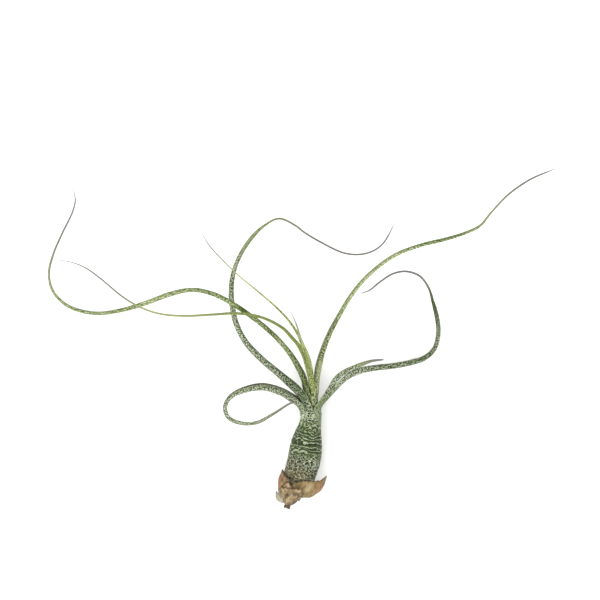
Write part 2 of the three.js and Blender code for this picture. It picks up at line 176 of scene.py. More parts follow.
def giveShares(piece, **shares):
    # how strongly each pattern shows at every vertex, for the material to read
    for name, values in shares.items():
        attribute = piece.data.attributes.new(name + "Share", "FLOAT", "POINT")
        attribute.data.foreach_set("value", np.asarray(values, np.float32))


welding = (bpy.ops.mesh.remove_doubles, {"threshold": weldReach})
filling = (bpy.ops.mesh.fill_holes, {"sides": 0})
facingOut = (bpy.ops.mesh.normals_make_consistent, {"inside": False})


def editWhole(*steps):
    # operators that work on all of the active piece
    bpy.ops.object.mode_set(mode="EDIT")
    for operator, settings in steps:
        bpy.ops.mesh.select_all(action="SELECT")
        operator(**settings)
    bpy.ops.object.mode_set(mode="OBJECT")


def finishPiece(piece, material, slot, *nodes):
    bpy.ops.object.shade_smooth_by_angle(angle=radians(crispAngle))
    piece.data.materials.clear()
    piece.data.materials.append(material)
    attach(piece, "root")
    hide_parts(*nodes)
    print(piece.name, len(piece.data.polygons), "faces")


# short ways to wire a material

lightGain = 1.62 # the lamps are this much brighter than white paper needs


def paint(red, green, blue):
    # a colour as it looks in the studio, 0 to 255, as the shader wants it
    parts = [part / 255 for part in (red, green, blue)]
    linear = [p / 12.92 if p <= 0.04045 else ((p + 0.055) / 1.055) ** 2.4 for p in parts]
    return (*[p / lightGain for p in linear], 1)


def newMaterial(name, **shader):
    material = bpy.data.materials.new(name)
    material.use_nodes = True
    tree = material.node_tree
    surface = tree.nodes["Principled BSDF"]
    for socket, value in shader.items():
        surface.inputs[socket.replace("_", " ")].default_value = value
    return material, tree, surface


def addNode(tree, kind, settings=None, **inputs):
    # i0, i1 and so on are sockets by number, the others are by name
    node = tree.nodes.new("ShaderNode" + kind)
    for name, value in (settings or {}).items():
        setattr(node, name, value)
    for name, value in inputs.items():
        numbered = name[0] == "i" and name[1:].isdigit()
        socket = node.inputs[int(name[1:]) if numbered else name.replace("_", " ")]
        if isinstance(value, bpy.types.NodeSocket):
            tree.links.new(value, socket)
        else:
            socket.default_value = value
    return node


def share(tree, name):
    return addNode(tree, "Attribute", {"attribute_name": name + "Share"}).outputs["Fac"]


def surfacePlace(tree, across, along, shift=0.0, warp=0.0):
    # the piece's own map, scaled so that a pattern repeats about every so many millimetres
    uv = addNode(tree, "UVMap", {"uv_map": "surfaceMap"}).outputs["UV"]
    settings = {"Scale": (mapSpan / across, mapSpan / along, 1), "Location": (shift, shift, shift)}
    place = addNode(tree, "Mapping", Vector=uv, **settings).outputs["Vector"]
    if not warp:
        return place
    drift = addNode(tree, "TexNoise", Vector=place, Scale=0.9, Detail=1).outputs["Color"]
    moved = addNode(tree, "VectorMath", {"operation": "SCALE"}, i0=drift, Scale=warp)
    warped = addNode(tree, "VectorMath", {"operation": "ADD"}, i0=place, i1=moved.outputs["Vector"])
    return warped.outputs["Vector"]


def cloud(tree, place, detail=2.0, roughness=0.5):
    noises = {"Scale": 1, "Detail": detail, "Roughness": roughness}
    return addNode(tree, "TexNoise", Vector=place, **noises).outputs["Fac"]


def net(tree, place):
    # distance from the lines of an irregular net
    settings = {"feature": "DISTANCE_TO_EDGE"}
    return addNode(tree, "TexVoronoi", settings, Vector=place, Scale=1).outputs["Distance"]


def calc(tree, operation, first, second=0.0):
    # one sum in the material, named as its Math node names it
    return addNode(tree, "Math", {"operation": operation}, i0=first, i1=second).outputs[0]


def times(tree, first, second):
    return calc(tree, "MULTIPLY", first, second)


def plus(tree, first, second):
    return calc(tree, "ADD", first, second)


def minus(tree, first, second):
    return calc(tree, "SUBTRACT", first, second)


def spread(tree, value, low, high, start=0.0, end=1.0):
    # runs softly from start to end while the value goes from low to high
    settings = {"interpolation_type": "SMOOTHSTEP"}
    inputs = {"Value": value, "From_Min": low, "From_Max": high, "To_Min": start, "To_Max": end}
    return addNode(tree, "MapRange", settings, **inputs).outputs["Result"]


def blended(tree, factor, first, second):
    settings = {"data_type": "RGBA"}
    return addNode(tree, "Mix", settings, i0=factor, i6=first, i7=second).outputs[2]


def tinted(tree, colour, where, strength, tint):
    return blended(tree, times(tree, where, strength), colour, tint)


def valueMix(tree, factor, first, second):
    return addNode(tree, "Mix", {"data_type": "FLOAT"}, i0=factor, i2=first, i3=second).outputs[0]


def wrinkle(tree, surface, height, strength, depth):
    bump = addNode(tree, "Bump", Height=height, Strength=strength, Distance=depth * mm)
    tree.links.new(bump.outputs["Normal"], surface.inputs["Normal"])


# leaf skin: green flesh under a cover of pale scales. near is by the bulb and far towards the tip,
# and each has the colours of bare flesh, of a half cover and of a full one
matureSkin = {
    "near": [(28, 40, 12), (96, 116, 64), (222, 230, 200)],
    "far": [(46, 64, 22), (128, 144, 96), (216, 222, 196)],
    "dry": (132, 128, 124), "tip": (150, 164, 106),
}
longSkin = {
    "near": [(36, 52, 6), (106, 126, 48), (214, 222, 172)],
    "far": [(62, 86, 18), (142, 162, 84), (220, 228, 180)],
    "dry": (134, 130, 124), "tip": (166, 178, 126),
}
youngSkin = {
    "near": [(74, 96, 20), (146, 164, 72), (206, 214, 140)],
    "far": [(84, 104, 26), (152, 172, 80), (206, 216, 140)],
    "dry": (140, 136, 128), "tip": (190, 200, 146),
}
scaleCover = {
    "wave": 1.8, # millimetres from one pale wave on the bulb to the next
    "wave drift": 3.4, "wave breaks": 1.15, # how far the waves stray and fray, in waves
    "wave gaps": 2.2, # how often a wave is broken off
    "drift across": 6.5, "drift along": 4, "break across": 1.6, "break along": 0.9,
    "marble across": 1.8, "marble along": 1.25, # the net on the lower bulb
    "marble ragged": 0.26, # its frayed lines
    "fold across": 2.4, "fold along": 7, "fold thickness": 0.008, # its few fine folds
    "loop across": 2.1, "loop along": 1.25, # pale loops on the neck
    "loop thickness": 0.055, "loop ground": 0.32,
    "crown across": 1.3, "crown along": 1.05, # dark net under the crown
    "crown line": (0.04, 0.21),
    "fleck across": 0.74, "fleck along": 0.6, # flecks on the blades
    "fleck edge": (0.44, 0.56),
    "grain across": 0.42, "grain along": 0.36, "grain": 1.1, # the finest dust of scales
    "smoothing": 0.72, # how far a smooth leaf loses its flecks
    "thicker": 0.5, # what a cover value of 1 adds
    "bump": 0.6, "relief": 0.14,
}


def threeTones(tree, tone, colours):
    # 0 is the first colour, a half the second and 1 the third
    lowHalf = addNode(tree, "MapRange", Value=tone, i2=0.5).outputs["Result"]
    highHalf = addNode(tree, "MapRange", Value=tone, i1=0.5).outputs["Result"]
    return blended(tree, highHalf, blended(tree, lowHalf, *colours[:2]), colours[2])


def lineNear(tree, value, middle, thick, faint=0.0):
    # a pale line where a value passes the middle
    away = calc(tree, "ABSOLUTE", minus(tree, value, middle))
    return spread(tree, away, thick * 0.35, thick, 1, faint)


def scalyTone(tree, cover):
    # how thick the pale scales lie, from 0, bare flesh, to 1
    def placed(kind, shift, warp=0.0):
        return surfacePlace(tree, cover[kind + " across"], cover[kind + " along"], shift, warp)

    grain = cloud(tree, placed("grain", 23), 1)
    grain = times(tree, minus(tree, grain, 0.5), cover["grain"])

    # flecks on the blades
    flecks = cloud(tree, placed("fleck", 17), 1.5, 0.6)
    tone = spread(tree, flecks, *cover["fleck edge"])

    # pale loops on the neck
    loops = cloud(tree, placed("loop", 11), 1)
    looped = lineNear(tree, loops, 0.5, cover["loop thickness"], cover["loop ground"])
    looped = times(tree, looped, spread(tree, flecks, 0.3, 0.5, 0.6, 1.05))
    tone = valueMix(tree, share(tree, "wrap"), tone, looped)

    # dark net under the crown
    meshes = spread(tree, net(tree, placed("crown", 5, 1.6)), *cover["crown line"], 1, 0.04)
    tone = valueMix(tree, share(tree, "crown"), tone, meshes)

    # waves round the upper bulb
    drift = cloud(tree, placed("drift", 3), 1.5)
    breaks = cloud(tree, placed("break", 7), 2, 0.6)
    along = addNode(tree, "SeparateXYZ", Vector=surfacePlace(tree, 1, cover["wave"])).outputs["Y"]
    phase = plus(tree, along, times(tree, drift, cover["wave drift"]))
    phase = plus(tree, phase, times(tree, breaks, cover["wave breaks"]))
    turned = times(tree, phase, 2 * pi)
    wave = calc(tree, "SINE", turned)
    broken = times(tree, minus(tree, breaks, 0.5), cover["wave gaps"])
    ridge = spread(tree, plus(tree, wave, broken), 0.2, 1.05, 0.3, 0.92)
    # a dark line follows under each pale one
    under = calc(tree, "SINE", plus(tree, turned, 1.9))
    waves = minus(tree, ridge, spread(tree, under, 0.3, 0.95, 0, 0.34))
    tone = valueMix(tree, share(tree, "wave"), tone, waves)

    # marbled net lower down, with a few long fine folds
    veins = net(tree, placed("marble", 31, 1.5))
    ragged = times(tree, minus(tree, flecks, 0.5), cover["marble ragged"])
    veins = spread(tree, plus(tree, veins, ragged), 0.03, 0.12, 1.15, 0)
    patchy = spread(tree, drift, 0.3, 0.7, 0.75, 1.1)
    folds = lineNear(tree, cloud(tree, placed("fold", 41), 0), 0.5, cover["fold thickness"])
    marbled = calc(tree, "MAXIMUM", times(tree, veins, patchy), folds)
    tone = valueMix(tree, share(tree, "marble"), tone, marbled)

    # a smooth leaf, and the places that each leaf's cover makes thicker or thinner
    smooth = times(tree, share(tree, "smooth"), cover["smoothing"])
    tone = valueMix(tree, smooth, tone, 0.5)
    thicker = times(tree, share(tree, "cover"), cover["thicker"])
    return plus(tree, plus(tree, tone, thicker), grain)


# what lies over the scales' colours, each with its strength
skinTints = {
    "shade": (0.16, paint(64, 80, 40)), # soft darker clouds
    "hollow": (0.42, paint(52, 70, 30)), # darker in the hollow of a leaf: partly fewer scales than on its back, partly painted shade
    "margin": (0.5, paint(206, 208, 178)),
    "base": 0.62, "base dark": paint(82, 56, 46), "base light": paint(118, 98, 60),
}


def leafSkin(name, colours):
    near, far = ([paint(*tone) for tone in colours[part]] for part in ("near", "far"))
    material, tree, surface = newMaterial(
        name, Roughness=0.75, Specular_IOR_Level=0.2, Sheen_Weight=0.06, Sheen_Roughness=0.5)
    tone = scalyTone(tree, scaleCover)
    near, far = threeTones(tree, tone, near), threeTones(tree, tone, far)
    colour = blended(tree, share(tree, "far"), near, far)
    shade = spread(tree, cloud(tree, surfacePlace(tree, 6, 9, 31), 2), 0.4, 0.7)
    colour = tinted(tree, colour, shade, *skinTints["shade"])
    # painted shade, together with the hollow's fewer scales, darkens the inside and the open side
    # of a channel
    colour = tinted(tree, colour, share(tree, "hollow"), *skinTints["hollow"])
    colour = tinted(tree, colour, share(tree, "margin"), *skinTints["margin"])
    # brown towards the old base
    age = spread(tree, cloud(tree, surfacePlace(tree, 5, 6, 51), 2), 0.35, 0.65)
    ageing = blended(tree, age, skinTints["base dark"], skinTints["base light"])
    colour = tinted(tree, colour, share(tree, "base"), skinTints["base"], ageing)
    for part in ("tip", "dry"):
        colour = blended(tree, share(tree, part), colour, paint(*colours[part]))
    tree.links.new(colour, surface.inputs["Base Color"])
    wrinkle(tree, surface, tone, scaleCover["bump"], scaleCover["relief"])
    return material


skins = {
    "mature": leafSkin("scaly_green", matureSkin),
    "long": leafSkin("scaly_light_green", longSkin),
    "young": leafSkin("scaly_yellow_green", youngSkin),
}
print("leaf skins ready")


# how a leaf is built, in millimetres
leafBuild = {
    "row step": 0.6, "outer": 40, "inner": 20, # distance of its rings, faces on its back and inside
    "bulb step": 2, # distance of the points where its line follows the bulb
    "rounding": 1.6, # a change of section is rounded over this length
    "tip length": 1.2, "tip share": 0.15, # the very end narrows over this length to this share
    "edge width": 1.8, "edge sink": 0.2, # the margins lie down on what is under them
    "edge gap": 0.3, # how far the map runs round a thin edge
    "least reach": 0.05, "least inside": 0.3,
}
# where each pattern starts and ends, in millimetres up the bulb
skinZones = {
    "marble ends": (20.5, 24.5), "waves start": (21, 25), "waves end": (31.5, 35.5),
    "crown starts": (35.5, 40), "smooth starts": (30, 34), "margin starts": (33, 38),
    "aged": (7, 22),
}
# and in millimetres past where a leaf leaves the bulb
bladeZones = {
    "coat starts": (2, 8), "wrap ends": (2, 10), "crown ends": (3, 10), "smooth ends": (8, 20),
    "hollow starts": (5, 12), "far starts": 8, "far": 70,
}
# folds and small waves of the skin: size round and along the bulb, and share of the height
skinFolds = {
    "broad": (3, 0.8, 0.6), "fine": (1, 0.6, 0.4),
    "on blade": 0.07, "on bulb": 0.13, "fade": (30, 40),
}


def sectionColumns(outer, inner):
    # the walk round a channel, from the middle of its inside over the back and home again:
    # the share of the half angle, and the depth below the back as a share of the thickness
    half = inner // 2
    steps = np.linspace(-1, 1, outer + 1)
    back = np.sin(steps * pi / 2) * 0.35 + steps * 0.65 # closer together at the edges
    shares = [*np.linspace(0, -1, half + 1), -1, *back, 1, *np.linspace(1, 0, half + 1)]
    depths = [*[1] * (half + 1), 0.5, *[0] * (outer + 1), 0.5, *[1] * (half + 1)]
    return np.array(shares), np.array(depths, float)


def walkAlong(route, azimuth, step):
    # even steps along a leaf's line, with its heading and its outward side at each
    run = np.linspace(0, route["length"], int(route["length"] / step) + 1)
    headings = headingsOn(route, run)
    return run, headings, carriedSides(headings, outward(headings[0], radians(azimuth)))


def narrowedTip(route, run):
    ended = np.clip((route["length"] - run) / leafBuild["tip length"], 0, 1)
    return leafBuild["tip share"] + (1 - leafBuild["tip share"]) * np.sqrt(ended)


def leafForm(leaf):
    # centres, directions and sizes of the leaf's rings
    rowStep = leaf.get("rowStep", leafBuild["row step"])
    step = leafBuild["bulb step"]
    points = [axisAt(s)[0] for s in np.arange(leaf["base"], leaf["departs"] - step + 0.01, step)]
    route = routeThrough([*points, axisAt(leaf["departs"])[0], *leaf["route"]])
    run, headings, sides = walkAlong(route, leaf["azimuth"], rowStep)
    s = leaf["base"] + run
    past = s - leaf["departs"]
    deep = leaf["layers"] * bulb["layer"] + valueAt(bulb["innerDepth"], s)
    sunk = valueAt(leaf["sunk"], s) if "sunk" in leaf else deep
    reach = int(leafBuild["rounding"] / rowStep)
    wrapped = past < 0
    radius = evened(np.where(wrapped, bulbRadius(s) - sunk, valueAt(leaf["blade"], past)), reach)
    half = np.where(wrapped, valueAt(leaf["sheath"], s), valueAt(leaf["blade"], past, 2))
    half = evened(half, reach)
    front = np.maximum(half, evened(valueAt(leaf["front"], s), reach)) if "front" in leaf else half
    coat = bulb["scales"] * ramped(radius, 0.05, 0.3) * ramped(past, *bladeZones["coat starts"])
    radius = (radius + coat) * narrowedTip(route, run)
    return {
        "centres": placesOn(route, run), "headings": headings, "sides": sides, "s": s, "past": past,
        "radius": radius, "half": np.radians(half), "front": np.radians(front),
    }


def skinRelief(azimuth, radius, s):
    # the same for every leaf that shares the bulb
    waves = np.zeros(len(s))
    for kind in ("broad", "fine"):
        across, along, height = skinFolds[kind]
        up, over = np.cos(azimuth) * radius / across, np.sin(azimuth) * radius / across
        heights = [noise.noise(Vector(point)) for point in zip(up, over, s / along)]
        waves = waves + np.array(heights) * height
    onBulb = 1 - ramped(s, *skinFolds["fade"])
    return waves * (skinFolds["on blade"] + skinFolds["on bulb"] * onBulb)


def growLeaf(leaf):
    faces = (leaf.get(part, leafBuild[part]) for part in ("outer", "inner"))
    shares, depths = sectionColumns(*faces)
    form = leafForm(leaf)
    piece, column, row = gridPiece(leaf["name"] + "_blade", len(shares) - 1, len(form["s"]) - 1)
    turn, deep = shares[column], depths[column]
    radius, s, past = (form[key][row] for key in ("radius", "s", "past"))
    facing = 1 if cos(radians(leaf["azimuth"])) < 0 else -1
    half = np.where(turn * facing > 0, form["front"][row], form["half"][row])
    angle = turn * half
    wrapped = 1 - ramped(past, *bladeZones["wrap ends"])
    edgeGap = (1 - np.abs(turn)) * half * radius
    # the margins lie down on what is under them, and some sheaths ride over the next one
    sunk = leafBuild["edge sink"] * (1 - ramped(edgeGap, 0, leafBuild["edge width"]))
    radius = radius - sunk * wrapped
    for start, end, low, high, rise in leaf.get("rides", ()):
        near = ramped(s, start, start + 3) * (1 - ramped(s, end - 3, end))
        radius = radius + rise * near * ramped(np.degrees(angle), low, high)
    wall = valueAt(bulb["outerWall"], s) if leaf.get("outermost") else np.full(len(s), bulb["wall"])
    # the edges are thin, the middle is full
    thickness = bulb["margin"] + (wall - bulb["margin"]) * np.sqrt(1 - np.abs(turn) ** 5)
    reach = np.maximum(radius - deep * thickness, leafBuild["least reach"])
    isOpen = ramped(radius, bulb["thread"], bulb["open"])
    solid = (1 - isOpen) * (deep > 0)
    relief = skinRelief(radians(leaf["azimuth"]) - angle, radius, s)
    relief = relief * np.minimum(radius / 1.5, 1) * (deep == 0)
    closing = pi - turn * (pi - half)
    side, centre = form["sides"][row], form["centres"][row]
    across = np.cross(form["headings"], form["sides"])[row]

    def ringPlace(angles, distances):
        up, over = np.cos(angles) * distances, np.sin(angles) * distances
        return up[:, None] * side + over[:, None] * across

    opened = ringPlace(angle, reach + relief)
    closed = ringPlace(closing, radius)
    places = centre + opened * (1 - solid)[:, None] + closed * solid[:, None]
    places[:, 2] = np.maximum(places[:, 2], 0)

    # distance round the section, from the middle of the back
    girth = half * radius
    innerGirth = half * np.maximum(radius - bulb["wall"], leafBuild["least inside"])
    inside = np.sign(turn) * (girth + leafBuild["edge gap"] + (1 - np.abs(turn)) * innerGirth)
    seam = girth + leafBuild["edge gap"] + innerGirth
    inside = np.where(column == 0, -seam, np.where(column == len(shares) - 1, seam, inside))
    surface = np.stack([np.where(deep == 0, turn * girth, inside), s], 1)
    placeGrid(piece, places, surface)

    def zone(name):
        return ramped(s, *skinZones[name])

    def blade(name):
        return ramped(past, *bladeZones[name])

    # darker towards the open side of the channel and fully on its inner faces: partly fewer scales,
    # partly painted shade
    hollow = ramped(np.abs(np.degrees(angle)), 88, 140) * blade("hollow starts")
    giveShares(
        piece,
        wrap=wrapped,
        crown=zone("crown starts") * (1 - blade("crown ends")),
        wave=zone("waves start") * (1 - zone("waves end")),
        marble=1 - zone("marble ends"),
        smooth=leaf.get("smooth", 0) * zone("smooth starts") * (1 - blade("smooth ends")),
        hollow=np.where(deep == 0, hollow, 1.0),
        far=ramped(past, bladeZones["far starts"], leaf.get("far", bladeZones["far"])),
        tip=ramped(past, *leaf["tip"]) * 0.6,
        dry=ramped(past, *leaf["dry"]),
        margin=(1 - ramped(edgeGap, 0.1, 0.4)) * isOpen * (0.5 + 0.5 * zone("margin starts")),
        base=1 - ramped(s, *leaf.get("aged", skinZones["aged"])),
        cover=valueAt(leaf["cover"], past) if "cover" in leaf else np.zeros(len(s)),
    )
    editWhole(welding, filling, facingOut)
    slot = "young_leaf" if leaf["skin"] == "young" else "leaf"
    finishPiece(piece, skins[leaf["skin"]], slot, leaf["name"])


# azimuth is where a sheath sits round the bulb, layers how many lie over it, base and departs where
# it starts and leaves; sheath is distance and half angle, blade distance past the bulb, radius and
# half angle, and cover adds scales or takes them along the blade
leafLeftLow = {
    "name": "leaf_left_low", "skin": "mature", "azimuth": 195, "layers": 0,
    "outermost": True, "base": 2.5, "departs": 40, "rowStep": 0.35, "outer": 96, "inner": 30,
    "sunk": [[0, 0], [60, 0]], "tip": (56, 90), "dry": (60, 96), "aged": (7, 27),
    "cover": [[-40, -0.15], [-8, -0.2], [0, 0], [40, 0.15]],
    "front": [[34, 50], [38, 56], [42, 72], [45, 88], [48, 105], [50, 100], [52, 60]],
    "sheath": [[2.5, 120], [10, 138], [14.6, 126], [19.8, 98], [28.5, 66], [32, 56], [36, 52]],
    "route": [
        [4.1, -32.2, 8.6], [2.6, -29.8, 8.4], [0.1, -27.8, 8.5], [-3.4, -26.1, 9.4],
        [-8, -23.4, 12], [-16.9, -20.9, 16.5], [-25.8, -22.6, 18], [-31, -25.5, 17],
        [-33.4, -30, 14], [-31.8, -35, 11], [-26, -37.4, 10], [-19.4, -37.1, 11], [-12, -33.2, 13],
        [-5, -28.7, 15], [-2, -27.5, 16.5],
    ],
    "blade": [
        [0, 4.8, 45], [3, 4.3, 44], [6, 3.4, 60], [9, 2.4, 100], [13, 1.8, 150], [22, 1.7, 155],
        [30, 1.58], [38, 1.32], [42, 1.1], [46, 0.88], [54, 0.88], [62, 0.78], [70, 0.7, 150],
        [78, 0.52], [84, 0.36], [90, 0.28],
    ],
}
growLeaf(leafLeftLow)

leafRightLow = {
    "name": "leaf_right_low", "skin": "mature", "azimuth": 2, "layers": 0,
    "base": 4, "departs": 41, "rowStep": 0.4, "outer": 80, "inner": 30, "dry": (90, 106),
    "sunk": [[32.5, 0.5], [37, 0]], "rides": [(33, 47, -35, -70, -0.35)], "smooth": 1,
    "tip": (100, 112), "far": 120,
    "cover": [
        [-40, -0.1], [-20, 0], [0, 0.1], [20, 0], [30, 0.1], [40, -0.35], [54, -0.4], [62, -0.75],
        [70, -0.35], [78, -0.5], [86, -1.1], [94, -1.2], [102, -0.2],
    ],
    "sheath": [[4, 105], [10, 115], [26, 108], [32, 90], [37, 90]],
    "route": [
        [6, -30.7, 8.8], [7.6, -28.4, 8.6], [11.2, -24.9, 8.2], [14.8, -21.3, 7.6], [19.7, -17, 7],
        [26, -14.1, 6.2], [34.3, -12.6, 5], [42.2, -11.8, 3.7], [49.5, -10.4, 2.5],
        [55.8, -8.4, 1.6], [60.3, -4.3, 1], [62.1, 2.6, 2.2], [61.3, 10.5, 5], [59.4, 17.3, 8.5],
        [57.6, 22.8, 12], [53.4, 28.3, 16], [47.1, 30.4, 20], [41.1, 29.3, 23], [35.4, 25.7, 26],
        [30.7, 22, 28.5], [26.8, 20.5, 30.5],
    ],
    "blade": [
        [0, 4.9, 86], [2, 4.6, 82], [4, 3.6], [6, 2.8, 86], [8, 2.4, 88], [12, 2.15, 84],
        [16, 2.05, 79], [22, 1.82, 98], [30, 1.45, 140], [38, 1.28, 155], [46, 1.22], [54, 1.18],
        [62, 1.02], [70, 0.9, 150], [80, 0.92], [86, 0.82], [92, 0.52], [98, 0.41], [116, 0.35],
        [130, 0.3], [136, 0.18],
    ],
}
growLeaf(leafRightLow)

leafLeftTall = {
    "name": "leaf_left_tall", "skin": "mature", "azimuth": 170, "layers": 1,
    "base": 6, "departs": 45, "rowStep": 0.4, "outer": 120, "inner": 30, "dry": (96, 130),
    "far": 90, "sunk": [[30, 0.25], [60, 0.25]], "rides": [(33, 48, 40, 75, 0.38)], "tip": (76, 92),
    "cover": [
        [-40, -0.15], [-12, -0.2], [15, -0.55], [24, -0.05], [62, 0.1], [70, -0.4], [77, 0.2],
        [84, 0], [102, -0.3], [110, -1], [117, 0],
    ],
    "front": [
        [6, 78], [12, 110], [20, 188], [30, 188], [34, 170], [37.4, 139], [43.7, 84], [46, 80],
    ],
    "sheath": [[6, 78], [12, 85], [40, 85]],
    "route": [
        [4.2, -27.3, 9.4], [2.8, -25.1, 9.7], [0.8, -23.2, 10.2], [-5.2, -18.6, 11.5],
        [-10.7, -14, 12.5], [-16.9, -8.8, 14], [-24.2, -0.9, 16], [-28.5, 7.7, 18],
        [-30.4, 17.7, 19], [-30.2, 26.6, 19], [-27.7, 35.4, 18], [-23.1, 43.4, 16.5],
        [-16.8, 50.2, 15], [-9.4, 54, 14.5], [-1.9, 50.8, 15], [1.7, 48, 15.5], [8.6, 43.8, 17],
        [20.4, 38.4, 19], [29.4, 38.4, 21], [36.2, 42.1, 23], [42.2, 52.1, 26],
    ],
    "blade": [
        [0, 4.3, 82], [3, 3.8, 84], [6, 3.05, 95], [9, 2.6, 115], [14, 2, 140], [18, 1.64, 152],
        [22, 1.5, 155], [38, 1.4], [46, 1.22], [62, 1.2], [70, 1.04], [78, 0.92, 150], [86, 0.84],
        [94, 0.8], [99, 0.52], [103, 0.36], [150, 0.3], [164, 0.26], [170, 0.12],
    ],
}
growLeaf(leafLeftTall)

leafRightShort = {
    "name": "leaf_right_short", "skin": "mature", "azimuth": 3, "layers": 1,
    "base": 6.3, "departs": 43, "dry": (31, 40), "far": 40, "tip": (26, 34),
    "sheath": [[6.3, 70], [12, 76], [37, 76], [42, 50]],
    "route": [
        [6.3, -29.7, 8.7], [7.7, -28, 8.5], [11, -24.5, 8.2], [14.1, -20.6, 8.2],
        [16.2, -17.4, 9.8], [20.1, -14.3, 10.9], [28.2, -10.8, 11.6], [32, -9.5, 13.4],
        [37.3, -8.8, 17],
    ],
    "blade": [
        [0, 3.82, 44], [2, 3.08, 38], [4, 1.95, 55], [6, 1.5, 84], [8, 1.4, 95], [14, 1.25, 130],
        [20, 1.2, 150], [26, 1.02], [32, 0.8], [37, 0.5], [42, 0.3],
    ],
}
growLeaf(leafRightShort)

leafLeftLong = {
    "name": "leaf_left_long", "skin": "long", "azimuth": 165, "layers": 2,
    "base": 8, "departs": 49, "dry": (150, 186), "far": 60, "tip": (140, 170),
    "cover": [
        [-40, 0], [2, -0.5], [10, -0.5], [18, -0.2], [24, 0], [30, 0.3], [38, -0.7], [47, -0.2],
        [54, -1.6], [60, 0], [70, -0.5], [78, -0.1], [90, 0], [102, 0.4], [110, -0.3], [118, -0.3],
        [130, 0],
    ],
    "sheath": [[8, 76], [14, 84], [40, 84], [47, 70]],
    "route": [
        [4.3, -23.2, 9.7], [3.2, -20.6, 10.1], [2.2, -17.8, 11.2], [-0.6, -12.4, 14],
        [-4.3, -6.3, 18], [-10.9, 1.5, 23], [-19.3, 8.8, 27], [-28.5, 15.3, 29], [-38.1, 20.3, 28],
        [-47.9, 22.2, 24.5], [-57.9, 20.3, 19], [-67.3, 16.9, 13], [-79.7, 13.2, 6.5],
        [-92.2, 11.7, 0.9], [-103.4, 14.5, 2], [-110.5, 21.2, 6], [-112.2, 29.3, 11],
        [-109.9, 38.1, 16], [-105.5, 47.5, 21], [-100.7, 56.7, 26], [-99.3, 61.9, 29],
        [-100.2, 67.5, 32],
    ],
    "blade": [
        [0, 2.9, 70], [4, 2.4, 76], [8, 1.7, 110], [14, 1.32, 150], [22, 1.14, 155], [30, 1.05],
        [38, 1], [54, 1.04], [62, 1.06], [70, 0.92], [78, 0.86, 150], [86, 1], [94, 1.06],
        [104, 0.98], [120, 0.8], [128, 0.68], [144, 0.6], [160, 0.5], [170, 0.44], [178, 0.36],
        [192, 0.3], [202, 0.24], [208, 0.12],
    ],
}
growLeaf(leafLeftLong)

leafRightLong = {
    "name": "leaf_right_long", "skin": "long", "azimuth": -15, "layers": 2,
    "base": 8.3, "departs": 49, "dry": (124, 150), "far": 50, "tip": (110, 130),
    "front": [[8.3, 74], [14, 80], [40, 80], [46, 100], [50, 112], [58, 112], [60, 100]],
    "cover": [
        [0, -0.3], [6, 0.2], [14, 1.2], [20, 0], [30, 0], [38, -0.5], [46, 0.4], [70, 0.7],
        [80, 0.7], [86, 0.2], [94, 0], [108, -0.5], [118, 0],
    ],
    "sheath": [[8.3, 74], [14, 80], [40, 80], [47, 72]],
    "route": [
        [6.1, -22.8, 9.1], [6.7, -19.4, 9.2], [7.9, -13.6, 9.9], [9.9, -5.7, 13.2], [13, 2.5, 18],
        [17.2, 10.6, 24], [22, 18.8, 29], [27.8, 26.3, 33], [34.7, 32.6, 36], [42.7, 37.9, 37.5],
        [53.2, 41.8, 37], [64.5, 44.6, 34.5], [73.2, 47.4, 32], [79.5, 50.5, 30],
        [84.6, 56.5, 29.5], [91.9, 64.2, 31], [101.4, 70.8, 34], [112.5, 75.5, 38],
    ],
    "blade": [
        [0, 2.75, 72], [4, 2.25, 76], [8, 1.65, 105], [14, 1.4, 150], [22, 1.2, 155], [30, 1.08],
        [38, 0.95], [46, 0.93], [54, 0.86], [62, 0.8], [78, 0.76, 150], [94, 0.72], [102, 0.76],
        [110, 0.62], [118, 0.56], [124, 0.46], [130, 0.36], [150, 0.33], [160, 0.26], [165, 0.14],
    ],
}
growLeaf(leafRightLong)

leafYoungLeft = {
    "name": "leaf_young_left", "skin": "young", "azimuth": 225, "layers": 3,
    "base": 10.5, "departs": 52, "dry": (104, 124), "far": 50, "tip": (50, 100),
    "cover": [[16, 0], [24, 0.45], [50, 0.55], [60, 0.2]],
    "sheath": [[10.5, 70], [16, 80], [50, 80]],
    "route": [
        [5.4, -21.6, 10.2], [4.9, -17.8, 12.1], [4, -14.4, 14.4], [3.1, -11.3, 17], [2, -7.6, 20],
        [0.7, -4.9, 22.6], [-0.9, -2.1, 25.4], [-3.7, 1.2, 28.8], [-7.9, 5.5, 33], [-16.7, 10, 38],
        [-27.2, 11.8, 40], [-38.6, 11.3, 39.5], [-50.6, 10.7, 36], [-61.7, 11.6, 32],
        [-70.6, 14.5, 28], [-78.8, 19.3, 25], [-88.6, 27.3, 22.5], [-95.8, 32.3, 22],
        [-102, 34.6, 22.5], [-107.3, 35.4, 24],
    ],
    "blade": [
        [0, 1.95, 78], [4, 1.35, 100], [8, 1.02, 140], [18, 0.88, 150], [28, 0.78], [38, 0.64],
        [46, 0.56], [54, 0.52], [70, 0.47], [94, 0.37], [112, 0.3], [136, 0.24], [150, 0.12],
    ],
}
growLeaf(leafYoungLeft)


# a young leaf that is still rolled shut, in millimetres
needleBuild = {
    "columns": 22, "bulb step": 4, # faces round it, and points where its line follows the bulb
    "rounding": 3, # rows over which its taper is rounded
    "in neck": (24, 36), # from here to here it moves from its place on the stem to that in the neck
    "groove width": 0.35, "groove depth": 0.28, # the two margins meet in a fine groove
    "far": (14, 44),
}


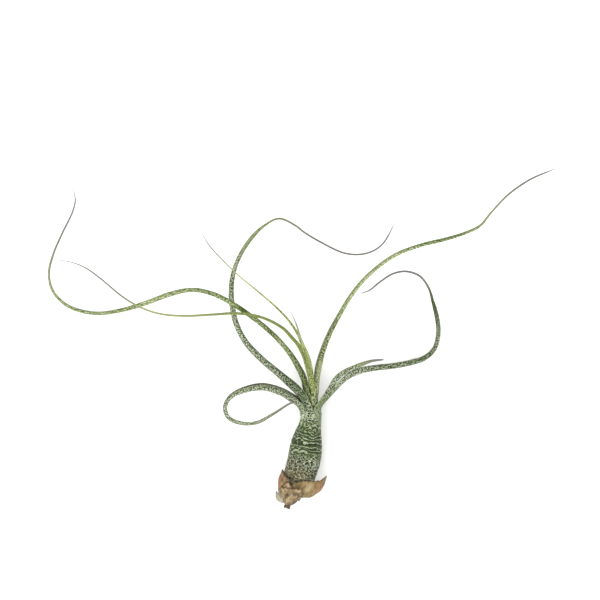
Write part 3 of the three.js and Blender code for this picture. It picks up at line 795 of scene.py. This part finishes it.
def growNeedle(needle):
    points = []
    for s in np.arange(needle["base"], needle["departs"] + 0.01, needleBuild["bulb step"]):
        place, heading = axisAt(s)
        inNeck = float(ramped(s, *needleBuild["in neck"]))
        apart = needle["apart"][0] * (1 - inNeck) + needle["apart"][1] * inNeck
        points.append(place + outward(heading, radians(needle["azimuth"])) * apart)
    route = routeThrough([*points, *needle["route"]])
    run, headings, sides = walkAlong(route, needle["azimuth"], leafBuild["row step"])
    s = needle["base"] + run
    past = s - needle["departs"]
    radius = evened(valueAt(needle["blade"], past), needleBuild["rounding"])
    radius = radius * narrowedTip(route, run)
    columns = needleBuild["columns"]
    piece, column, row = gridPiece(needle["name"] + "_blade", columns, len(run) - 1)
    angle = column / columns * 2 * pi - pi
    groove = np.exp(-((pi - np.abs(angle)) / needleBuild["groove width"]) ** 2)
    reach = radius[row] * (1 - needleBuild["groove depth"] * groove)
    across = np.cross(headings, sides)
    up, over = np.cos(angle) * reach, np.sin(angle) * reach
    skin = up[:, None] * sides[row] + over[:, None] * across[row]
    surface = np.stack([angle * radius[row], s[row]], 1)
    placeGrid(piece, placesOn(route, run)[row] + skin, surface)
    bulbOnly = ("wrap", "crown", "wave", "marble", "smooth", "base", "cover")
    giveShares(piece, **{name: np.zeros(len(row)) for name in bulbOnly})
    giveShares(
        piece,
        # painted shade darkens the groove where the margins meet
        hollow=groove * 0.5,
        far=ramped(past[row], *needleBuild["far"]),
        tip=ramped(past[row], *needle["tip"]) * 0.8,
        dry=ramped(past[row], *needle["dry"]),
        margin=groove * 0.6 * (radius[row] > 0.5),
    )
    editWhole(welding, filling, facingOut)
    finishPiece(piece, skins["young"], "young_leaf", needle["name"])


# apart is how far it stands off the bulb's middle line, low in the bulb and in the neck
leafYoungMiddle = {
    "name": "leaf_young_middle", "azimuth": 0, "apart": (1, 0.75), "base": 12.3, "departs": 50,
    "tip": (56, 82), "dry": (78, 100),
    "route": [
        [5.5, -21.4, 12.2], [5.1, -17.6, 15], [4.5, -14.4, 17.6], [4, -11.2, 20.6],
        [3.2, -7.6, 25], [2, -4.5, 28.5], [0.9, -1.8, 31.8], [-0.9, 2.5, 37], [-5.1, 8.9, 43],
        [-10.5, 14.6, 47], [-18.9, 21.9, 51], [-27, 28.6, 52], [-34.5, 35.9, 51],
        [-39.7, 41.7, 49], [-43, 47, 47],
    ],
    "blade": [
        [-40, 0.6], [-15, 0.5], [-4, 0.9], [2, 1.15], [8, 1.15], [18, 1], [28, 0.85], [38, 0.7],
        [48, 0.54], [58, 0.46], [72, 0.38], [84, 0.32], [98, 0.28], [106, 0.16],
    ],
}
growNeedle(leafYoungMiddle)

leafHeart = {
    "name": "leaf_heart", "azimuth": 120, "apart": (1, 0.65), "base": 12.3, "departs": 50,
    "tip": (26, 42), "dry": (32, 50),
    "route": [
        [5.8, -21.6, 13.4], [5.8, -17.6, 17], [5.4, -14.3, 20.5], [3.9, -7.5, 28.5],
        [1.6, -2.1, 34], [-0.1, 2.2, 39.5], [-1.5, 6.8, 45], [-3.4, 11.3, 51], [-5, 15.1, 56],
    ],
    "blade": [
        [-40, 0.55], [-15, 0.38], [0, 0.38], [8, 0.5], [24, 0.5], [36, 0.46], [46, 0.36],
        [58, 0.1],
    ],
}
growNeedle(leafHeart)
print("leaves grown")


# dry sheaths round the bulb's base

# what lies over a dry skin's two tones, each with its strength
paperTints = {
    "veins": (0.42, paint(214, 196, 158)), "olive": (0.55, paint(122, 112, 62)),
    "goldenGlints": (0.6, paint(222, 194, 132)), "creaseShade": paint(78, 58, 38),
    "rust clouds": 0.4, "rust spots": 0.6,
    "bump": 0.7, "relief": 0.28,
}
# the spots and the rim that each sheath is given: the dark spots are painted shade in gaps, notches
# and undersides, the pale spots are mostly painted highlights, and the dark rim is painted shade
# along the edges
paperSpots = {
    "moss": (0.85, paint(140, 124, 68)), "pale": (0.6, paint(220, 198, 158)),
    "soil": (0.85, paint(74, 60, 50)), "edge": (0.55, paint(92, 72, 44)),
}


def papery(name, light, dark, rust, grain=(1.3, 5), creasing=0.3):
    material, tree, surface = newMaterial(name, Roughness=0.6, Specular_IOR_Level=0.3)
    veins = cloud(tree, surfacePlace(tree, 0.42, 6, 2), 2, 0.55)
    folds = cloud(tree, surfacePlace(tree, *grain, 5), 2, 0.55)
    blotches = cloud(tree, surfacePlace(tree, 3.2, 3.2, 9), 3, 0.6)
    glintFlakes = cloud(tree, surfacePlace(tree, 0.9, 0.8, 14), 2, 0.6)
    creases = cloud(tree, surfacePlace(tree, grain[0] * 1.7, grain[1] * 0.9, 19, 0.8), 1.5)
    creases = times(tree, lineNear(tree, creases, 0.5, 0.035), creasing)
    rusty = times(tree, spread(tree, blotches, 0.52, 0.7), paperTints["rust clouds"])
    rustSpots = times(tree, share(tree, "rust"), paperTints["rust spots"])
    rusty = plus(tree, rusty, rustSpots)
    colour = blended(tree, spread(tree, folds, 0.38, 0.6), paint(*dark), paint(*light))
    colour = tinted(tree, colour, spread(tree, veins, 0.48, 0.66), *paperTints["veins"])
    colour = blended(tree, rusty, colour, paint(*rust))
    colour = tinted(tree, colour, spread(tree, blotches, 0.46, 0.34), *paperTints["olive"])
    # painted glints: small golden highlights scattered over the dry skin
    colour = tinted(tree, colour, spread(tree, glintFlakes, 0.6, 0.7), *paperTints["goldenGlints"])
    # painted shade darkens the creases
    colour = blended(tree, creases, colour, paperTints["creaseShade"])
    for spot, look in paperSpots.items():
        colour = tinted(tree, colour, share(tree, spot), *look)
    tree.links.new(colour, surface.inputs["Base Color"])
    height = minus(tree, plus(tree, veins, folds), creases)
    wrinkle(tree, surface, height, paperTints["bump"], paperTints["relief"])
    return material


papers = {
    "tan": papery("dry_tan", (160, 136, 84), (104, 84, 44), (194, 128, 82)),
    "pink": papery("dry_pink", (180, 152, 106), (100, 76, 44), (176, 128, 100), (2.6, 1.5), 0.4),
    "light": papery("dry_light", (208, 184, 142), (150, 120, 78), (198, 150, 118)),
    "brown": papery("dry_brown", (156, 122, 74), (98, 72, 38), (180, 112, 64)),
    "pale": papery("dry_pale", (200, 202, 184), (150, 150, 126), (176, 166, 134)),
}


def scraps(seed, *places):
    # uneven folds of dry skin, from any number of directions
    return np.array([noise.noise(Vector((*place, seed))) for place in zip(*places)])


def spotted(azimuth, s, spots):
    # strength of soft spots, each with its place and width round the bulb, then along it
    strength = np.zeros(len(s))
    for place, width, middle, length in spots:
        away = ((azimuth - place) / width) ** 2 + ((s - middle) / length) ** 2
        strength = np.maximum(strength, np.exp(-away))
    return strength


# every dry sheath, in millimetres
sheetBuild = {
    "thickness": 0.28, "clear": 0.3, # off the bulb's skin
    "off table": 0.2, "map radius": 6, "torn height": 3, # a sheath lower than this is torn less
}


def drySheath(husk):
    columns, rows = husk["grid"]
    piece, column, row = gridPiece(husk["name"] + "_paper", columns, rows)
    first, last = husk["low"][0][0], husk["low"][-1][0]
    azimuth = first + (last - first) * column / columns
    height = row / rows
    low, high = valueAt(husk["low"], azimuth), valueAt(husk["high"], azimuth)
    level = np.zeros(len(row))
    seed = husk["seed"]
    ragged = scraps(seed, azimuth / 6, level) * 0.9 + scraps(seed + 4, azimuth / 1.7, level) * 0.4
    ragged = ragged * husk.get("torn", 1)
    fullHeight = sheetBuild["torn height"]
    torn = ragged * height ** 3 * np.minimum(high - low, fullHeight) / fullHeight
    s = low + (high - low) * height + torn
    folds = scraps(seed, azimuth / 9, s / 7) * 0.7 + scraps(seed + 5, azimuth / 3, s / 8) * 0.4
    lumps = scraps(seed + 9, azimuth / 16, s / 1.9) * 0.6
    lumps = lumps + scraps(seed + 11, azimuth / 6, s / 0.9) * 0.25
    out = bulbRadius(s) + valueAt(husk["lift"], s) + sheetBuild["clear"]
    out = out + folds * husk["folds"] + lumps * husk["lumps"]
    out = out + husk["curl"] * height ** 5 * (1 + 2 * ragged)
    if "flare" in husk:
        flare = husk["flare"]
        near = np.exp(-(((azimuth - flare["azimuth"]) / flare["width"]) ** 2))
        out = out + near * (flare["low"] + flare["rise"] * height - flare["fall"] * height ** 2)
    places = []
    for angle, distance, reach in zip(azimuth, s, out):
        place, heading = axisAt(distance)
        places.append(place + outward(heading, radians(angle)) * reach)
    places = np.array(places)
    places[:, 2] = np.maximum(places[:, 2], sheetBuild["off table"])
    surface = np.stack([np.radians(azimuth) * sheetBuild["map radius"], s], 1)
    placeGrid(piece, places, surface)
    # the sides and the top have a dark rim, and the low edge one as thin as its rim is high:
    # painted shade where the sheath meets the parts beside and under it
    edge = np.minimum(np.minimum(column, columns - column) / columns * 40, (1 - height) * 12)
    edge = np.minimum(edge, height * husk.get("rim", 100))
    kinds = ("rust", "moss", "soil", "pale")
    rust, moss, soil, pale = (spotted(azimuth, s, husk.get(kind, ())) for kind in kinds)
    giveShares(
        piece,
        edge=1 - ramped(edge, 0.2, 1.2),
        rust=rust,
        moss=moss,
        # painted shade darkens the hollows of the lumps and painted highlight lightens their tops
        soil=np.maximum(soil, ramped(-lumps, 0, 0.24) * husk["lumps"]),
        pale=np.maximum(pale, ramped(lumps, 0.08, 0.32) * husk["lumps"]),
    )
    editWhole(welding)
    solidify = piece.modifiers.new("thickness", "SOLIDIFY")
    solidify.thickness = sheetBuild["thickness"] * mm
    solidify.offset = 0
    bpy.ops.object.modifier_apply(modifier="thickness")
    editWhole(facingOut)
    finishPiece(piece, papers[husk["paper"]], "dry_sheath", husk["name"])


# low and high are azimuth and distance along the bulb, lift is distance and height off the bulb,
# and a spot is its azimuth and width, then its distance and length
drySheathRight = {
    "name": "dry_sheath_right", "paper": "tan", "seed": 3, "grid": (150, 50),
    "folds": 0.42, "lumps": 0.18, "curl": 0.35, "rust": [(14, 14, 9.8, 2.4)],
    "moss": [(92, 18, 10, 1.9), (66, 11, 6.6, 2.2), (2, 9, 13.6, 2)], "pale": [(52, 9, 9, 3)],
    "soil": [(102, 7, 6.9, 1)],
    "low": [[-50, 4.5], [-20, 5.5], [8, 7], [20, 5.2], [46, 4.2], [107, 4.2]],
    "high": [[-50, 8.5], [-20, 12.5], [8, 16.4], [30, 13.4], [50, 12.3], [75, 11.4], [107, 8.2]],
    "lift": [[4, 0.3], [16, 0.3]],
    "flare": {"azimuth": 8, "width": 32, "low": 1.9, "rise": 5.5, "fall": 4.8},
}
drySheath(drySheathRight)

drySheathFront = {
    "name": "dry_sheath_front", "paper": "pink", "seed": 8, "grid": (120, 48),
    "folds": 0.35, "lumps": 0.85, "curl": 0.35, "torn": 0.45,
    "soil": [(70, 17, 0.6, 1.9), (101, 5, 6.8, 0.9)],
    "pale": [(78, 7, 6.4, 0.9), (92, 8, 3.8, 0.9), (150, 9, 1.9, 0.8)],
    "moss": [(146, 12, 4.2, 1.3), (88, 16, 4.9, 0.7), (108, 20, 1.6, 1)],
    "low": [[58, 3.4], [64, 0.6], [78, -1.2], [120, -1.4], [150, -1.3], [160, -0.8], [176, 1]],
    "high": [[60, 5.6], [72, 7.4], [100, 6.2], [140, 5.2], [165, 4], [176, 3]],
    "lift": [[-1.4, -0.8], [-0.4, 0.6], [1.6, 1.2], [3, 1.45], [8, 1.45]],
}
drySheath(drySheathFront)

drySheathLeft = {
    "name": "dry_sheath_left", "paper": "brown", "seed": 13, "grid": (110, 44),
    "folds": 0.3, "lumps": 0.2, "curl": 0.2, "rim": 9, "rust": [(160, 16, 8, 2.6)],
    "soil": [(116, 6, 9.3, 0.8)], "moss": [(130, 9, 8, 1)],
    "low": [[112, 8.9], [124, 8.6], [140, 6.3], [165, 3.4], [190, 2.6], [238, 4]],
    "high": [[112, 9.4], [141, 10.8], [162, 12.4], [180, 13.2], [205, 12.4], [238, 9]],
    "lift": [[4, 1.5], [8, 1.25], [11, 0.6], [15, 0.3]],
    "flare": {"azimuth": 182, "width": 26, "low": 0.35, "rise": 0, "fall": 0.35},
}
drySheath(drySheathLeft)

drySheathMiddle = {
    "name": "dry_sheath_middle", "paper": "light", "seed": 21, "grid": (60, 24),
    "folds": 0.2, "lumps": 0.1, "curl": 0.2, "pale": [(119, 7, 7, 1)], "moss": [(140, 9, 6, 1.2)],
    "low": [[100, 5.4], [126, 4.8], [152, 4]],
    "high": [[100, 6.2], [112, 7.4], [121, 8.7], [134, 7.4], [152, 5]],
    "lift": [[4, 0.9], [7, 0.6], [10, 0.2]],
}
drySheath(drySheathMiddle)

drySheathLow = {
    "name": "dry_sheath_low", "paper": "pale", "seed": 34, "grid": (70, 30),
    "folds": 0.3, "lumps": 0.35, "curl": 0,
    "low": [[142, 0.4], [152, -1.2], [166, -1.2], [180, -0.8], [194, 0], [206, 1.4]],
    "high": [[142, 2.4], [158, 2.8], [180, 2.7], [194, 2.3], [206, 1.8]],
    "lift": [[-0.4, 0.9], [3, 0.5], [4.4, 0.4]],
    "flare": {"azimuth": 182, "width": 19, "low": 2.5, "rise": 0.6, "fall": 0.3},
}
drySheath(drySheathLow)
print("dry sheaths done")


# stem and broken roots
stem = {
    "from": 1.2, "to": 12, "low radius": 2.3, "high radius": 1.7, "sides": 24,
    "root radius": 0.75, "root tip": 0.42, "root sides": 10,
    "heel": [(2.2, 3.5), (6.5, 4.3)], # dark wood that closes the bulb from below
    "voxel": 0.16, "bark": [(900, 0.16), (2400, 0.07)], # how often the bark is rough, and how much
    "roots": [
        [[-4.6, -71.6, 8.2], [-7.2, -75.2, 8.6]], [[-4.2, -71.8, 7.4], [-4.9, -76, 7.2]],
        [[-4.6, -71.9, 6.6], [-5.4, -74.6, 4.8]], [[-5, -71.6, 6.4], [-6.9, -74.9, 5.2]],
        [[-4.8, -71.8, 8.6], [-6.2, -75.4, 9.4]], [[-4.6, -72, 8], [-5.6, -75.7, 8.2]],
        [[-4.4, -72, 6.6], [-5.5, -75, 5.8]], [[-4.6, -72, 8.8], [-5.2, -74.8, 9.6]],
    ],
}


def barkMaterial():
    material, tree, surface = newMaterial("dark_bark", Roughness=0.88)
    place = addNode(tree, "TexCoord").outputs["Object"]
    grains = {"Scale": 1400, "Detail": 4, "Roughness": 0.65}
    grain = addNode(tree, "TexNoise", Vector=place, **grains).outputs["Fac"]
    colour = blended(tree, spread(tree, grain, 0.35, 0.65), paint(40, 34, 20), paint(116, 106, 76))
    tree.links.new(colour, surface.inputs["Base Color"])
    wrinkle(tree, surface, grain, 0.7, 0.25)
    return material


def bar(start, end, startRadius, endRadius, sides):
    run = Vector(end) - Vector(start)
    middle = (Vector(start) + Vector(end)) / 2
    bpy.ops.mesh.primitive_cone_add(
        vertices=sides, radius1=startRadius * mm, radius2=endRadius * mm, depth=run.length * mm,
        location=middle * mm, rotation=run.to_track_quat("Z", "Y").to_euler(),
    )
    return bpy.context.object


def stemAndRoots():
    bpy.ops.object.select_all(action="DESELECT")
    core = axisAt(stem["from"])[0], axisAt(stem["to"])[0]
    bars = [bar(*core, stem["low radius"], stem["high radius"], stem["sides"])]
    (low, lowRadius), (high, highRadius) = stem["heel"]
    bars.append(bar(axisAt(low)[0], axisAt(high)[0], lowRadius, highRadius, stem["sides"]))
    rootForm = stem["root radius"], stem["root tip"], stem["root sides"]
    bars += [bar(*root, *rootForm) for root in stem["roots"]]
    for piece in bars:
        piece.select_set(True)
    bpy.context.view_layer.objects.active = bars[0]
    bpy.ops.object.join()
    bpy.ops.object.transform_apply(location=True, rotation=True, scale=True)
    piece = bpy.context.object
    piece.name = "stem_and_roots_wood"
    remesh = piece.modifiers.new("fuse", "REMESH")
    remesh.mode = "VOXEL"
    remesh.voxel_size = stem["voxel"] * mm
    bpy.ops.object.modifier_apply(modifier="fuse")
    for vertex in piece.data.vertices:
        bark = sum(noise.noise(vertex.co * often) * high for often, high in stem["bark"])
        vertex.co += vertex.normal * bark * mm
    finishPiece(piece, barkMaterial(), "woody_stem", "stem_and_roots")


stemAndRoots()
print("stem and roots done")


# table, light and camera
studio = {
    "table": 2.4, "table colour": (0.93, 0.93, 0.93, 1), "sky": 1.3,
    "lamp size": 0.9, "aim": (0, 0, 0.01), # a lamp is its power and its place
    "key_light": (6, (-0.5, -0.45, 0.8)), "fill_light": (2.2, (0.6, 0.45, 0.9)),
    "camera height": 1.6, "camera y": 0.0177, "frame width": 0.27, "sensor": 36, "far clip": 20,
}

bpy.ops.object.select_all(action="DESELECT")
bpy.ops.mesh.primitive_plane_add(size=studio["table"], location=(0, 0, 0))
table = bpy.context.object
table.name = "table"
tableMaterial, _, tableSurface = newMaterial("white_table", Roughness=0.9)
tableSurface.inputs["Base Color"].default_value = studio["table colour"]
table.data.materials.append(tableMaterial)

world = bpy.data.worlds.new("studio")
bpy.context.scene.world = world
world.use_nodes = True
sky = world.node_tree.nodes["Background"]
sky.inputs["Color"].default_value = (1, 1, 1, 1)
sky.inputs["Strength"].default_value = studio["sky"]


for name in ("key_light", "fill_light"):
    power, place = studio[name]
    bpy.ops.object.light_add(type="AREA", location=place)
    lamp = bpy.context.object
    lamp.name = name
    lamp.data.energy = power
    lamp.data.shape = "DISK"
    lamp.data.size = studio["lamp size"]
    aim = Vector(studio["aim"]) - Vector(place)
    lamp.rotation_euler = aim.to_track_quat("-Z", "Y").to_euler()

# straight down, as the photograph looks
cameraPlace = (0, studio["camera y"], studio["camera height"])
bpy.ops.object.camera_add(location=cameraPlace, rotation=(0, 0, 0))
camera = bpy.context.object
camera.data.sensor_width = studio["sensor"]
camera.data.lens = studio["sensor"] * studio["camera height"] / studio["frame width"]
camera.data.clip_end = studio["far clip"]
bpy.context.scene.camera = camera
bpy.context.scene.view_settings.view_transform = "Standard"
print("studio ready")
